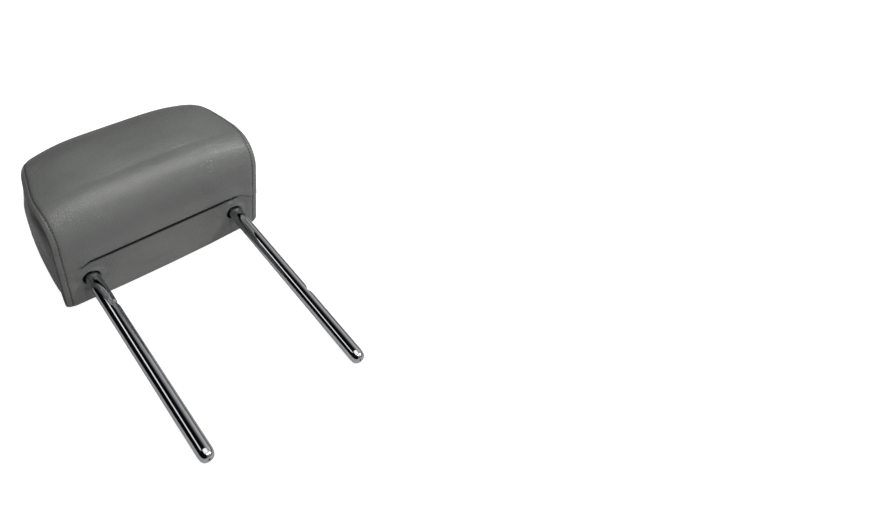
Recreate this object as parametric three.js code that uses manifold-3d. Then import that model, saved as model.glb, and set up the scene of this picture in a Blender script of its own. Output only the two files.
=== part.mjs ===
// A car head restraint: a leather cushion on a bent steel tube whose two legs slide into a seat.
// It is drawn as it sits in the car and laid on its back at the end. Millimetres.
// In the drawing X runs across the car, -Y is the way the occupant looks and Z is up.

import * as THREE from 'three';
import { mergeVertices } from 'three/addons/utils/BufferGeometryUtils.js';
import Module from 'manifold-3d';

const wasm = await Module();
wasm.setup();

// Tube legs
const TUBE_RADIUS = 7;
const TUBE_WALL = 2.8;
const LEG_SPACING = 155;
const LEG_EXPOSED = 225;
const TIP_FLAT_RADIUS = 3.6;
const TIP_HOLE_RADIUS = 1.3;
const TIP_SWAGE = 11;
const BEND_START = 16;
const BEND_RADIUS = 38;
const TUBE_SIDES = 24;
const BORE_SIDES = 12;

// Lock notches, measured down the leg from the underside of the cushion
const NOTCH_DEPTH = 2.2;
const NOTCH_FLOOR = 2.2;
const NOTCH_SHOULDER = 1.8;
const NOTCH_RAMP = 3.8;
const NOTCH_LONG_RAMP = 5.5;
const NOTCH_TURN = Math.PI / 10;
const LEFT_NOTCH_DROP = 0.17 * LEG_EXPOSED;
const RIGHT_NOTCH_DROP = 0.56 * LEG_EXPOSED;

// Cushion, in side view: Y is fore and aft, Z is height above the underside
const REAR_BOTTOM_Y = 36;
const CUSHION_DEPTH = 119.5;
const FRONT_BOTTOM_Y = REAR_BOTTOM_Y - CUSHION_DEPTH;
const FRONT_LEAN = 9;
const FRONT_TOP = { y: FRONT_BOTTOM_Y + FRONT_LEAN, z: 136.5 };
const REAR_HEIGHT = 116;
const RADIUS_REAR_BOTTOM = 13;
const RADIUS_FRONT_BOTTOM = 27;
const RADIUS_FRONT_TOP = 50;
const RADIUS_REAR_TOP = 21;
const HALF_WIDTH = 106;
const SIDE_TAPER = 0.196;
const SIDE_FLARE = 0.069;
const FLARE_START = 45;
const CROWN = 10.8;
const CROWN_FULLNESS = 4;
const SIDE_BOW = 5.5;
const SIDE_BULGE = 6.6;
const UNDERSIDE_BULGE = 5;
const UNDERSIDE_BULGE_REACH = 45;

// Cover
const LEATHER = 2;
const CLEARANCE = 0.35;
const EDGE_DROP = 3;
const EDGE_DROP_WIDTH = 11;
const SEAM_BAND_RISE = 0.9;
const STITCH_INSET = 6;
const STITCH_DIP = 0.9;
const THREAD_RADIUS = 0.45;
const HOLE_RADIUS = TUBE_RADIUS + 1.7;
const LIP_RADIUS = HOLE_RADIUS + 2.4;
const LIP_RISE = 1.3;

// Slit across the underside where the two ends of the long panel overlap
const SLIT_Y = -25.5;
const FLAP_RAMP = 14;
const FLAP_LIFT = 1.8;
const FLAP_REACH = 2;
const TUCK_DEPTH = 1.2;
const TUCK_REACH = 5;

// Interlocking closure strips behind the slit
const STRIP_LENGTH = 136;
const STRIP_THICKNESS = 1.6;
const STRIP_GROOVE_DEPTH = 12.6;
const STRIP_GROOVE_WIDTH = 36;
const STRIP_OFF_LEATHER = 0.4;

// Inner core: two plastic half shells clamped round the cross bar of the tube
const CORE_WIDTH = 122;
const CORE_HEIGHT = 56;
const CORE_BOTTOM = 24;
const CORE_HALF_DEPTH = 19;
const CORE_WALL = 2.6;
const CORE_RADIUS = 9;
const RIB_THICKNESS = 3;
const RIB_OFFSETS = [-0.2 * CORE_WIDTH, 0.2 * CORE_WIDTH];
const SCREW_OFFSET_X = CORE_WIDTH / 2 - 15;
const SCREW_INSET_Z = 9.5;
const BOSS_RADIUS = 5;
const SCREW_RADIUS = 1.9;
const SCREW_HEAD_RADIUS = 3.8;
const SCREW_HEAD_HEIGHT = 2.4;
const SCREW_LENGTH = 26;

// Lying pose: the back of the cushion and both legs, where their tips begin, are on the table
const LEG_SLOPE = Math.atan((REAR_BOTTOM_Y - TUBE_RADIUS) / (LEG_EXPOSED - TIP_SWAGE));
const REAR_TOP = { y: REAR_BOTTOM_Y + REAR_HEIGHT * Math.tan(LEG_SLOPE), z: REAR_HEIGHT };

const legX = LEG_SPACING / 2;
const crossBarZ = BEND_START + BEND_RADIUS;

function material(colour, roughness, metalness) {
  return new THREE.MeshStandardMaterial({ color: colour, roughness, metalness });
}

const leather = () => material(0x6c706e, 0.55, 0);
const thread = () => material(0x383a38, 0.8, 0);
const chrome = () => material(0xd8dadc, 0.08, 1);
const foamRubber = () => material(0xd9cfae, 0.95, 0);
const corePlastic = () => material(0x26282a, 0.6, 0);
const stripPlastic = () => material(0xb9bcbe, 0.5, 0);
const screwSteel = () => material(0x9a9ca0, 0.35, 1);

// Closed solids and booleans

function toManifold(geometry) {
  const bare = geometry.clone();
  bare.deleteAttribute('normal');
  bare.deleteAttribute('uv');
  const merged = mergeVertices(bare, 1e-4);
  return new wasm.Manifold(new wasm.Mesh({
    numProp: 3,
    vertProperties: new Float32Array(merged.attributes.position.array),
    triVerts: new Uint32Array(merged.index.array),
  }));
}

function toGeometry(manifold) {
  const mesh = manifold.getMesh();
  const geometry = new THREE.BufferGeometry();
  geometry.setAttribute('position', new THREE.BufferAttribute(new Float32Array(mesh.vertProperties), 3));
  geometry.setIndex(new THREE.BufferAttribute(new Uint32Array(mesh.triVerts), 1));
  return geometry;
}

function indexed(points, faces) {
  const geometry = new THREE.BufferGeometry();
  geometry.setFromPoints(points);
  geometry.setIndex(faces);
  return geometry;
}

// Rings of equal count joined one to the next, each end closed with a fan round its middle
function loft(rings) {
  const points = rings.flat();
  const count = rings[0].length;
  const faces = [];
  for (let r = 0; r + 1 < rings.length; r += 1) {
    for (let i = 0; i < count; i += 1) {
      const j = (i + 1) % count;
      const [a, b] = [r * count + i, r * count + j];
      faces.push(a, b, b + count, a, b + count, a + count);
    }
  }
  const middle = (ring) => ring.reduce((sum, p) => sum.add(p), new THREE.Vector3()).divideScalar(count);
  const last = (rings.length - 1) * count;
  points.push(middle(rings[0]), middle(rings[rings.length - 1]));
  for (let i = 0; i < count; i += 1) {
    const j = (i + 1) % count;
    faces.push(points.length - 2, j, i, points.length - 1, last + i, last + j);
  }
  return indexed(points, faces);
}

// Two matching grids of points, outer and inner, closed along their borders
function sheet(outer, inner) {
  const rows = outer.length;
  const columns = outer[0].length;
  const points = [...outer.flat(), ...inner.flat()];
  const offset = rows * columns;
  const at = (r, c) => r * columns + c;
  const faces = [];
  const quad = (a, b, c, d) => faces.push(a, c, b, a, d, c);
  for (let r = 0; r + 1 < rows; r += 1) {
    for (let c = 0; c + 1 < columns; c += 1) {
      quad(at(r, c), at(r, c + 1), at(r + 1, c + 1), at(r + 1, c));
      quad(offset + at(r, c), offset + at(r + 1, c), offset + at(r + 1, c + 1), offset + at(r, c + 1));
    }
    const end = columns - 1;
    quad(at(r, 0), at(r + 1, 0), offset + at(r + 1, 0), offset + at(r, 0));
    quad(at(r + 1, end), at(r, end), offset + at(r, end), offset + at(r + 1, end));
  }
  for (let c = 0; c + 1 < columns; c += 1) {
    const end = rows - 1;
    quad(at(0, c + 1), at(0, c), offset + at(0, c), offset + at(0, c + 1));
    quad(at(end, c), at(end, c + 1), offset + at(end, c + 1), offset + at(end, c));
  }
  return indexed(points, faces);
}

// An outline of [y, z] points drawn out along X about the middle
function barAlongX(outline, length) {
  const shape = new THREE.Shape(outline.map(([y, z]) => new THREE.Vector2(y, z)));
  const geometry = new THREE.ExtrudeGeometry(shape, { depth: length, bevelEnabled: false });
  geometry.translate(0, 0, -length / 2);
  geometry.applyMatrix4(new THREE.Matrix4().set(0, 0, 1, 0, 1, 0, 0, 0, 0, 1, 0, 0, 0, 0, 0, 1));
  return geometry;
}

// A rounded rectangle in X and Z drawn out along Y from y0 to y1
function roundedBlock(halfWidth, z0, z1, radius, y0, y1) {
  const shape = new THREE.Shape();
  shape.moveTo(-halfWidth + radius, z0);
  shape.lineTo(halfWidth - radius, z0);
  shape.absarc(halfWidth - radius, z0 + radius, radius, -Math.PI / 2, 0);
  shape.lineTo(halfWidth, z1 - radius);
  shape.absarc(halfWidth - radius, z1 - radius, radius, 0, Math.PI / 2);
  shape.lineTo(-halfWidth + radius, z1);
  shape.absarc(-halfWidth + radius, z1 - radius, radius, Math.PI / 2, Math.PI);
  shape.lineTo(-halfWidth, z0 + radius);
  shape.absarc(-halfWidth + radius, z0 + radius, radius, Math.PI, Math.PI * 1.5);
  const geometry = new THREE.ExtrudeGeometry(shape, { depth: y1 - y0, bevelEnabled: false, curveSegments: 5 });
  geometry.rotateX(Math.PI / 2);
  geometry.translate(0, y1, 0);
  return geometry;
}

function cylinderAlongY(radius, x, z, y0, y1, sides) {
  const geometry = new THREE.CylinderGeometry(radius, radius, y1 - y0, sides);
  geometry.translate(x, (y0 + y1) / 2, z);
  return geometry;
}

function cylinderAlongZ(radius, x, y, z0, z1, sides) {
  const geometry = new THREE.CylinderGeometry(radius, radius, z1 - z0, sides);
  geometry.rotateX(Math.PI / 2);
  geometry.translate(x, y, (z0 + z1) / 2);
  return geometry;
}

// Side view of the cushion as a loop of points, from the slit rearwards and all the way round

const CORNERS = [
  { y: REAR_BOTTOM_Y, z: 0, radius: RADIUS_REAR_BOTTOM, steps: 4, before: 3 },
  { y: REAR_TOP.y, z: REAR_TOP.z, radius: RADIUS_REAR_TOP, steps: 5, before: 4 },
  { y: FRONT_TOP.y, z: FRONT_TOP.z, radius: RADIUS_FRONT_TOP, steps: 9, before: 2 },
  { y: FRONT_BOTTOM_Y, z: 0, radius: RADIUS_FRONT_BOTTOM, steps: 5, before: 3 },
];

function cornerArc(index) {
  const corner = CORNERS[index];
  const here = new THREE.Vector2(corner.y, corner.z);
  const side = (other) => new THREE.Vector2(other.y, other.z).sub(here).normalize();
  const back = side(CORNERS[(index + CORNERS.length - 1) % CORNERS.length]);
  const ahead = side(CORNERS[(index + 1) % CORNERS.length]);
  const half = Math.acos(back.dot(ahead)) / 2;
  const run = corner.radius / Math.tan(half);
  const inwards = back.clone().add(ahead).normalize();
  const centre = here.clone().addScaledVector(inwards, corner.radius / Math.sin(half));
  const from = here.clone().addScaledVector(back, run).sub(centre).angle();
  const to = here.clone().addScaledVector(ahead, run).sub(centre).angle();
  const sweep = ((to - from + 3 * Math.PI) % (2 * Math.PI)) - Math.PI;
  const points = [];
  for (let k = 0; k <= corner.steps; k += 1) {
    const angle = from + (sweep * k) / corner.steps;
    points.push({
      y: centre.x + corner.radius * Math.cos(angle),
      z: centre.y + corner.radius * Math.sin(angle),
    });
  }
  return points;
}

function sideLoop() {
  const loop = [{ y: SLIT_Y, z: 0 }, { y: SLIT_Y + FLAP_RAMP, z: 0 }];
  CORNERS.forEach((corner, index) => {
    const arc = cornerArc(index);
    const start = loop[loop.length - 1];
    for (let k = 1; k < corner.before; k += 1) {
      const t = k / corner.before;
      loop.push({ y: start.y + (arc[0].y - start.y) * t, z: start.z + (arc[0].z - start.z) * t });
    }
    loop.push(...arc);
  });
  const last = loop[loop.length - 1];
  const rampStart = SLIT_Y - FLAP_RAMP;
  loop.push({ y: (last.y + rampStart) / 2, z: 0 }, { y: rampStart, z: 0 }, { y: SLIT_Y - FLAP_RAMP / 2, z: 0 });
  return loop;
}

const LOOP = sideLoop();
const LOOP_MIDDLE = { y: REAR_BOTTOM_Y - 0.47 * CUSHION_DEPTH, z: REAR_HEIGHT / 2 };

function halfWidthAt(point) {
  const up = THREE.MathUtils.clamp(point.z / FRONT_TOP.z, 0, 1);
  const flare = SIDE_FLARE * point.y * THREE.MathUtils.clamp(point.z / FLARE_START, 0, 1);
  return HALF_WIDTH - SIDE_TAPER * point.z - flare + 4 * SIDE_BOW * up * (1 - up);
}

// How far the leather hangs out of the underside, most at the middle of its rear edge
function undersideBulge(base, x) {
  const rearwards = THREE.MathUtils.clamp((base.y - SLIT_Y) / (REAR_BOTTOM_Y - SLIT_Y), 0, 1);
  const low = THREE.MathUtils.clamp(1 - base.z / UNDERSIDE_BULGE_REACH, 0, 1);
  return UNDERSIDE_BULGE * (1 - (x / halfWidthAt(base)) ** 2) * rearwards ** 1.5 * low ** 2;
}

// Point of the cushion's long face: loop point i, across the cushion at x
function facePoint(i, x) {
  const base = LOOP[(i + LOOP.length) % LOOP.length];
  const half = halfWidthAt(base);
  const swell = CROWN * (1 - Math.abs(x / half) ** CROWN_FULLNESS);
  const fromBack = REAR_BOTTOM_Y + base.z * Math.tan(LEG_SLOPE) - base.y;
  const front = swell * THREE.MathUtils.clamp(fromBack / (REAR_BOTTOM_Y - FRONT_BOTTOM_Y), 0, 1) ** 3;
  const top = swell * THREE.MathUtils.clamp(base.z / FRONT_TOP.z, 0, 1) ** 3;
  const alongBack = top - undersideBulge(base, x);
  return new THREE.Vector3(
    x,
    base.y - front + alongBack * Math.sin(LEG_SLOPE),
    base.z + alongBack * Math.cos(LEG_SLOPE),
  );
}

function faceNormal(i, x) {
  const along = facePoint(i + 1, x).sub(facePoint(i - 1, x));
  const across = facePoint(i, x + 0.5).sub(facePoint(i, x - 0.5));
  return along.cross(across).normalize();
}

// Same point moved in by a depth, with the softened edge next to each side seam
function insetPoint(i, fromEdge, side, depth) {
  const half = halfWidthAt(LOOP[(i + LOOP.length) % LOOP.length]);
  const x = side * (half - fromEdge);
  const drop = fromEdge < EDGE_DROP_WIDTH ? EDGE_DROP * (1 - fromEdge / EDGE_DROP_WIDTH) ** 2 : 0;
  return facePoint(i, x).addScaledVector(faceNormal(i, x), -(depth + drop));
}

// Columns across the long panel: distance from the nearer side seam and rise of the surface there
const EDGE_COLUMNS = [
  { inset: 0, rise: 0 },
  { inset: 0.9, rise: SEAM_BAND_RISE },
  { inset: STITCH_INSET - 1.6, rise: SEAM_BAND_RISE },
  { inset: STITCH_INSET, rise: -STITCH_DIP },
  { inset: STITCH_INSET + 1.6, rise: 0 },
  { inset: EDGE_DROP_WIDTH + 1, rise: 0 },
];
const INNER_COLUMNS = 7;

function coverColumns(half) {
  const first = EDGE_COLUMNS[EDGE_COLUMNS.length - 1].inset;
  const columns = EDGE_COLUMNS.map((edge) => ({ side: -1, ...edge }));
  for (let k = 1; k <= INNER_COLUMNS; k += 1) {
    const x = -(half - first) + (2 * (half - first) * k) / (INNER_COLUMNS + 1);
    columns.push({ side: x <= 0 ? -1 : 1, inset: half - Math.abs(x), rise: 0 });
  }
  columns.push(...EDGE_COLUMNS.slice().reverse().map((edge) => ({ side: 1, ...edge })));
  return columns;
}

function coverRow(i, shift) {
  const half = halfWidthAt(LOOP[i % LOOP.length]);
  const outer = [];
  const inner = [];
  for (const column of coverColumns(half)) {
    const offset = new THREE.Vector3(0, shift.y, shift.z);
    outer.push(insetPoint(i, column.inset, column.side, -column.rise).add(offset));
    inner.push(insetPoint(i, column.inset, column.side, LEATHER).add(offset));
  }
  return { outer, inner };
}

// Leg holes with the raised, puckered rim of the leather round each
function withLegHoles(cover) {
  let result = cover;
  for (const x of [-legX, legX]) {
    const level = -undersideBulge({ y: 0, z: 0 }, x);
    const lip = cylinderAlongZ(LIP_RADIUS, x, 0, level - LIP_RISE, level + LEATHER / 2, 20);
    result = result.add(toManifold(lip));
    const [below, above] = [level - LIP_RISE - 2, level + LEATHER + 2];
    result = result.subtract(toManifold(cylinderAlongZ(HOLE_RADIUS, x, 0, below, above, 20)));
  }
  return result;
}

// Long panel: starts tucked in behind the slit, runs round the cushion and ends in the flap over the slit
function coverPanel() {
  const still = { y: 0, z: 0 };
  const rows = [coverRow(0, { y: -TUCK_REACH, z: TUCK_DEPTH }), coverRow(0, { y: FLAP_RAMP / 3, z: TUCK_DEPTH })];
  for (let i = 1; i < LOOP.length - 1; i += 1) {
    rows.push(coverRow(i, still));
  }
  rows.push(coverRow(LOOP.length - 1, { y: 0, z: -FLAP_LIFT }));
  rows.push(coverRow(LOOP.length, { y: FLAP_REACH, z: -FLAP_LIFT }));
  const panel = toManifold(sheet(rows.map((row) => row.outer), rows.map((row) => row.inner)));
  return toGeometry(withLegHoles(panel));
}

// End panel, dished next to the seam and bulged in the middle
const GUSSET_RINGS = [1, 0.9, 0.72, 0.48, 0.24];
const GUSSET_SET_BACK = 1;
const GUSSET_GAP = 0.5;
const GUSSET_DISH = 0.8;

function gussetRing(side, factor, depth) {
  return LOOP.map((base, i) => {
    const behindSlit = base.z === 0 && Math.abs(base.y - SLIT_Y) < FLAP_RAMP ? 1.5 * TUCK_DEPTH : 0;
    const rim = insetPoint(i, 0, side, LEATHER + GUSSET_GAP + behindSlit);
    const y = LOOP_MIDDLE.y + (rim.y - LOOP_MIDDLE.y) * factor;
    const z = LOOP_MIDDLE.z + (rim.z - LOOP_MIDDLE.z) * factor;
    const dish = factor > 0.8 && factor < 1 ? GUSSET_DISH : 0;
    const bulge = SIDE_BULGE * (1 - factor ** 2);
    const level = halfWidthAt({ y, z }) + (halfWidthAt(base) - halfWidthAt(rim)) * factor ** 4;
    const x = level - GUSSET_SET_BACK + bulge - dish - depth;
    return new THREE.Vector3(side * x, y, z);
  });
}

function gusset(side) {
  const outside = GUSSET_RINGS.slice().reverse().map((factor) => gussetRing(side, factor, 0));
  const inside = GUSSET_RINGS.map((factor) => gussetRing(side, factor, LEATHER));
  return orient(loft([...outside, ...inside]));
}

// Faces turned outwards whatever the order in which the rings were laid
function orient(geometry) {
  const position = geometry.attributes.position;
  const index = geometry.index.array;
  const [a, b, c] = [new THREE.Vector3(), new THREE.Vector3(), new THREE.Vector3()];
  let volume = 0;
  for (let f = 0; f < index.length; f += 3) {
    a.fromBufferAttribute(position, index[f]);
    b.fromBufferAttribute(position, index[f + 1]);
    c.fromBufferAttribute(position, index[f + 2]);
    volume += a.dot(b.cross(c));
  }
  if (volume < 0) {
    for (let f = 0; f < index.length; f += 3) {
      [index[f + 1], index[f + 2]] = [index[f + 2], index[f + 1]];
    }
  }
  return geometry;
}

// Thread of the topstitch that holds the seam allowance down, beside each side seam
function topstitch(side) {
  const sides = 6;
  const rings = LOOP.slice(2, LOOP.length - 2).map((base, k) => {
    const i = k + 2;
    const centre = insetPoint(i, STITCH_INSET, side, STITCH_DIP - THREAD_RADIUS - CLEARANCE);
    const normal = faceNormal(i, centre.x);
    const across = new THREE.Vector3(1, 0, 0);
    return Array.from({ length: sides }, (unused, s) => {
      const angle = (2 * Math.PI * s) / sides;
      return centre.clone()
        .addScaledVector(normal, THREAD_RADIUS * Math.cos(angle))
        .addScaledVector(across, THREAD_RADIUS * Math.sin(angle));
    });
  });
  return orient(loft(rings));
}

// Tube: path of its centre line from one tip over the cross bar to the other

function tubePath() {
  const tip = -LEG_EXPOSED;
  const swage = [[0, 0], [0.07, 0.38], [0.24, 0.7], [0.51, 0.91], [1, 1]];
  const left = swage.map(([part, growth]) => {
    const radius = TIP_FLAT_RADIUS + (TUBE_RADIUS - TIP_FLAT_RADIUS) * growth;
    return { x: -legX, z: tip + TIP_SWAGE * part, turn: 0, radius };
  });
  left.push({ x: -legX, z: BEND_START, turn: 0, radius: TUBE_RADIUS });
  const steps = 8;
  for (let k = 1; k <= steps; k += 1) {
    const turn = (Math.PI / 2) * (k / steps);
    const x = -legX + BEND_RADIUS * (1 - Math.cos(turn));
    left.push({ x, z: BEND_START + BEND_RADIUS * Math.sin(turn), turn, radius: TUBE_RADIUS });
  }
  const right = left.slice().reverse().map((p) => ({ ...p, x: -p.x, turn: Math.PI - p.turn }));
  return [...left, ...right];
}

function sweepTube(path, sides) {
  const rings = path.map((p) => Array.from({ length: sides }, (unused, s) => {
    const angle = (2 * Math.PI * (s + 0.5)) / sides;
    const out = p.radius * Math.cos(angle);
    return new THREE.Vector3(
      p.x - out * Math.cos(p.turn),
      p.radius * Math.sin(angle),
      p.z + out * Math.sin(p.turn),
    );
  }));
  return orient(loft(rings));
}

function borePath() {
  const boreRadius = TUBE_RADIUS - TUBE_WALL;
  return tubePath().map((p, k, all) => {
    const fromEnd = Math.min(k, all.length - 1 - k);
    const narrow = [TIP_HOLE_RADIUS, TIP_HOLE_RADIUS, TIP_HOLE_RADIUS * 1.6, boreRadius * 0.85];
    const past = fromEnd === 0 ? -2 : 0;
    return { ...p, z: p.z + past, radius: fromEnd < narrow.length ? narrow[fromEnd] : boreRadius };
  });
}

// Notch in the +X side of a leg, turned a little to the front: a slope, a flat floor and a ramp out again
function notchCut(x, drop, slope) {
  const floor = TUBE_RADIUS - NOTCH_DEPTH;
  const rim = TUBE_RADIUS + 0.1;
  const outside = TUBE_RADIUS + 3;
  const floorTop = -drop - slope;
  const floorEnd = floorTop - NOTCH_FLOOR;
  const end = floorEnd - NOTCH_RAMP;
  const corners = [[outside, -drop], [rim, -drop], [floor, floorTop], [floor, floorEnd], [rim, end], [outside, end]];
  const shape = new THREE.Shape(corners.map(([away, z]) => new THREE.Vector2(away, z)));
  const geometry = new THREE.ExtrudeGeometry(shape, { depth: 4 * TUBE_RADIUS, bevelEnabled: false });
  geometry.rotateX(Math.PI / 2);
  geometry.translate(0, 2 * TUBE_RADIUS, 0);
  geometry.rotateZ(-NOTCH_TURN);
  geometry.translate(x, 0, 0);
  return toManifold(geometry);
}

function bentTube() {
  return toGeometry(toManifold(sweepTube(tubePath(), TUBE_SIDES))
    .subtract(toManifold(sweepTube(borePath(), BORE_SIDES)))
    .subtract(notchCut(-legX, LEFT_NOTCH_DROP, NOTCH_SHOULDER))
    .subtract(notchCut(legX, RIGHT_NOTCH_DROP, NOTCH_LONG_RAMP)));
}

function tubeClearance() {
  const channel = tubePath().map((p) => ({ ...p, radius: TUBE_RADIUS + CLEARANCE }));
  return toManifold(sweepTube(channel, TUBE_SIDES));
}

// Closure strips: two hooks that catch each other behind the slit

// Outlines in strip thicknesses: how far each corner lies in front of the slit and above the sewn flange
const FRONT_STRIP = [[5, 0], [12.5, 0], [12.5, 1], [6, 1], [6, 4], [2.25, 4], [2.25, 3], [5, 3]];
const REAR_STRIP = [[1.1, 0], [-7.5, 0], [-7.5, 1], [0.1, 1], [0.1, 4.45], [4.1, 4.45], [4.1, 3.45], [1.1, 3.45]];

function closureStrip(outline, inside) {
  const corners = outline.map(([ahead, above]) => [
    SLIT_Y - ahead * STRIP_THICKNESS,
    inside + above * STRIP_THICKNESS,
  ]);
  return barAlongX(corners, STRIP_LENGTH);
}

// Foam

function foamBody() {
  const depth = LEATHER + CLEARANCE;
  const caps = [0.24, 0.6, 0.9];
  const setBack = GUSSET_SET_BACK + depth + GUSSET_GAP;
  const row = (side, inset) => LOOP.map((base, i) => insetPoint(i, inset, side, depth));
  const endX = (side, i) => side * (halfWidthAt(LOOP[i]) - setBack);
  const endRow = (side) => row(side, GUSSET_SET_BACK).map((p, i) => p.setX(endX(side, i)));
  const middle = [-0.5, 0, 0.5].map((fraction) => LOOP.map((base, i) => {
    const half = halfWidthAt(base);
    return insetPoint(i, half * (1 - Math.abs(fraction)), fraction < 0 ? -1 : 1, depth);
  }));
  const rings = [
    ...caps.map((factor) => gussetRing(-1, factor, depth)),
    endRow(-1),
    row(-1, EDGE_DROP_WIDTH + 1),
    ...middle,
    row(1, EDGE_DROP_WIDTH + 1),
    endRow(1),
    ...caps.slice().reverse().map((factor) => gussetRing(1, factor, depth)),
  ];
  return toManifold(orient(loft(rings)));
}

function foamBun() {
  const core = roundedBlock(
    CORE_WIDTH / 2 + CLEARANCE,
    CORE_BOTTOM - CLEARANCE,
    CORE_BOTTOM + CORE_HEIGHT + CLEARANCE,
    CORE_RADIUS,
    -CORE_HALF_DEPTH - CLEARANCE,
    CORE_HALF_DEPTH + CLEARANCE,
  );
  const tuckDepth = LEATHER + TUCK_DEPTH + EDGE_DROP / 2 + CLEARANCE;
  const tuck = new THREE.BoxGeometry(3 * HALF_WIDTH, 2 * FLAP_RAMP + 2, 2 * tuckDepth);
  tuck.translate(0, SLIT_Y, 0);
  const groove = new THREE.BoxGeometry(STRIP_LENGTH + 2, STRIP_GROOVE_WIDTH, 2 * STRIP_GROOVE_DEPTH);
  groove.translate(0, SLIT_Y - 4, 0);
  return toGeometry(foamBody()
    .subtract(toManifold(core))
    .subtract(tubeClearance())
    .subtract(toManifold(tuck))
    .subtract(toManifold(groove)));
}

// Core shells, split on the plane of the tube

const SCREW_PLACES = [-1, 1].flatMap((side) => [
  { x: side * SCREW_OFFSET_X, z: CORE_BOTTOM + SCREW_INSET_Z },
  { x: side * SCREW_OFFSET_X, z: CORE_BOTTOM + CORE_HEIGHT - SCREW_INSET_Z },
]);

function coreShell(side) {
  const top = CORE_BOTTOM + CORE_HEIGHT;
  const [open, closed] = [side * 0.2, side * CORE_HALF_DEPTH];
  const block = (halfWidth, z0, z1, radius, a, b) => (
    toManifold(roundedBlock(halfWidth, z0, z1, radius, Math.min(a, b), Math.max(a, b)))
  );
  const inner = side * (CORE_HALF_DEPTH - CORE_WALL);
  let shell = block(CORE_WIDTH / 2, CORE_BOTTOM, top, CORE_RADIUS, open, closed).subtract(block(
    CORE_WIDTH / 2 - CORE_WALL,
    CORE_BOTTOM + CORE_WALL,
    top - CORE_WALL,
    CORE_RADIUS - CORE_WALL,
    open - side,
    inner,
  ));
  for (const x of RIB_OFFSETS) {
    const rib = new THREE.BoxGeometry(RIB_THICKNESS, CORE_HALF_DEPTH - 1, CORE_HEIGHT - 2);
    rib.translate(x, (side * CORE_HALF_DEPTH) / 2, CORE_BOTTOM + CORE_HEIGHT / 2);
    shell = shell.add(toManifold(rib));
  }
  for (const place of SCREW_PLACES) {
    const [y0, y1] = side < 0 ? [inner - 0.5, -0.2] : [0.2, inner + 0.5];
    shell = shell.add(toManifold(cylinderAlongY(BOSS_RADIUS, place.x, place.z, y0, y1, 16)));
  }
  shell = shell.subtract(tubeClearance());
  for (const place of SCREW_PLACES) {
    const start = CORE_HALF_DEPTH - SCREW_LENGTH - 0.6;
    const shank = cylinderAlongY(SCREW_RADIUS + CLEARANCE, place.x, place.z, start, CORE_HALF_DEPTH + 1, 10);
    const sunk = CORE_HALF_DEPTH - SCREW_HEAD_HEIGHT - CLEARANCE;
    const head = cylinderAlongY(SCREW_HEAD_RADIUS + CLEARANCE, place.x, place.z, sunk, CORE_HALF_DEPTH + 1, 16);
    shell = shell.subtract(toManifold(shank)).subtract(toManifold(head));
  }
  return toGeometry(shell);
}

// Screw driven from behind: flat head with a cross recess, plain shank and a point
function coreScrew(place) {
  const profile = [
    [0, -SCREW_LENGTH],
    [SCREW_RADIUS * 0.5, -SCREW_LENGTH + 1],
    [SCREW_RADIUS, -SCREW_LENGTH + 4],
    [SCREW_RADIUS, -SCREW_HEAD_HEIGHT],
    [SCREW_HEAD_RADIUS, -SCREW_HEAD_HEIGHT],
    [SCREW_HEAD_RADIUS, -0.5],
    [SCREW_HEAD_RADIUS - 0.7, 0],
    [0, 0],
  ];
  const body = new THREE.LatheGeometry(profile.map(([r, h]) => new THREE.Vector2(r, h)), 12);
  let screw = toManifold(body);
  for (const turn of [0, Math.PI / 2]) {
    const slot = new THREE.BoxGeometry(SCREW_HEAD_RADIUS * 1.1, 2.4, 0.9);
    slot.rotateY(turn);
    screw = screw.subtract(toManifold(slot));
  }
  const geometry = toGeometry(screw);
  geometry.translate(place.x, CORE_HALF_DEPTH, place.z);
  return geometry;
}

// Assembly

const pieces = [
  ['cover_panel', coverPanel(), leather()],
  ['gusset_left', gusset(-1), leather()],
  ['gusset_right', gusset(1), leather()],
  ['topstitch_left', topstitch(-1), thread()],
  ['topstitch_right', topstitch(1), thread()],
  ['closure_strip_front', closureStrip(FRONT_STRIP, LEATHER + STRIP_OFF_LEATHER), stripPlastic()],
  ['closure_strip_rear', closureStrip(REAR_STRIP, LEATHER + TUCK_DEPTH + STRIP_OFF_LEATHER), stripPlastic()],
  ['foam_bun', foamBun(), foamRubber()],
  ['core_shell_front', coreShell(-1), corePlastic()],
  ['core_shell_rear', coreShell(1), corePlastic()],
  ['post_tube', bentTube(), chrome()],
  ...SCREW_PLACES.map((place, k) => [`core_screw_${k + 1}`, coreScrew(place), screwSteel()]),
];

// Laid down with its back and both tips on the table, legs sloping down to their tips
function layDown(geometry) {
  geometry.rotateX(-(Math.PI / 2 - LEG_SLOPE));
  geometry.computeBoundingBox();
  return geometry;
}

const whole = new THREE.Box3();
for (const [, geometry] of pieces) {
  whole.union(layDown(geometry).boundingBox);
}
const centre = whole.getCenter(new THREE.Vector3());

const headrest = new THREE.Group();
headrest.name = 'car_headrest';
for (const [name, geometry, surface] of pieces) {
  geometry.translate(0, -centre.y, -whole.min.z);
  geometry.deleteAttribute('normal');
  geometry.deleteAttribute('uv');
  const mesh = new THREE.Mesh(geometry, surface);
  mesh.name = name;
  headrest.add(mesh);
}

export default headrest;
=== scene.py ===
import math

import bmesh
import bpy
import numpy as np
from mathutils import Matrix, Vector
from mathutils.bvhtree import BVHTree
from mathutils.kdtree import KDTree


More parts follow.
